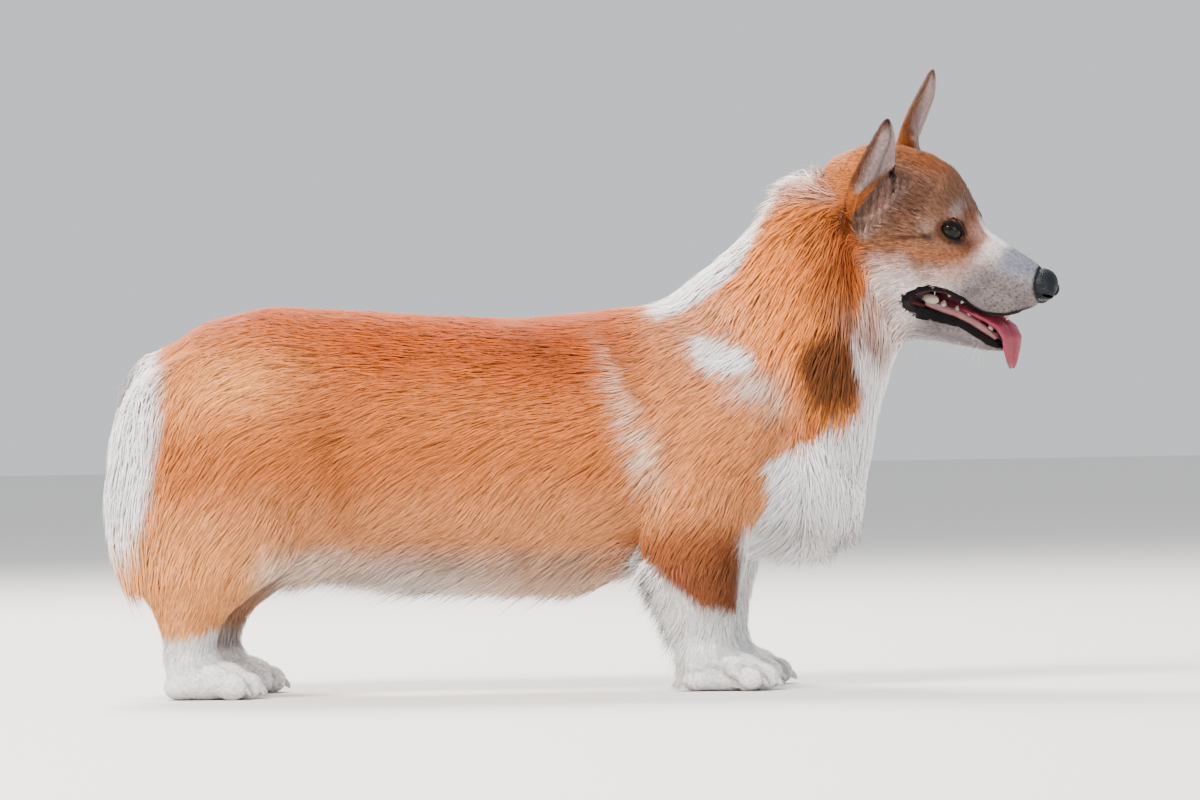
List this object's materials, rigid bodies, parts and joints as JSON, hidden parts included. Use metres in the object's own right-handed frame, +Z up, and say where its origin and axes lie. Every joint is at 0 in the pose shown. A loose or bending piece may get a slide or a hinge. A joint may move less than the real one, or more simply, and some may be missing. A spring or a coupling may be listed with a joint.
{
  "type": "pembroke welsh corgi",
  "caption": "Life-size still model of a standing Pembroke Welsh corgi, head turned a little, ears up, mouth open, on four short legs.",
  "frame": {"origin": "on the floor, under the middle of the whole model's box", "axes": "+X from tail to nose, +Y towards the dog's left side, +Z up"},
  "size_m": [0.6898, 0.202, 0.4453],
  "materials": {
    "red_coat": "soft short fur",
    "white_coat": "soft white fur",
    "nose_leather": "damp pebbled leather",
    "eye": "wet gloss",
    "tongue": "moist, finely rough"
  },
  "bodies": {
    "root": {"torso": "red_coat", "neck": "red_coat", "head": "red_coat", "lower_jaw": "white_coat", "nose": "nose_leather", "tongue": "tongue", "eye_left": "eye", "eye_right": "eye", "ear_left": "red_coat", "ear_right": "red_coat", "foreleg_left": "red_coat", "foreleg_right": "red_coat", "hindleg_left": "red_coat", "hindleg_right": "red_coat", "forepaw_left": "white_coat", "forepaw_right": "white_coat", "hindpaw_left": "white_coat", "hindpaw_right": "white_coat", "tail": "red_coat"}
  },
  "joints": []
}
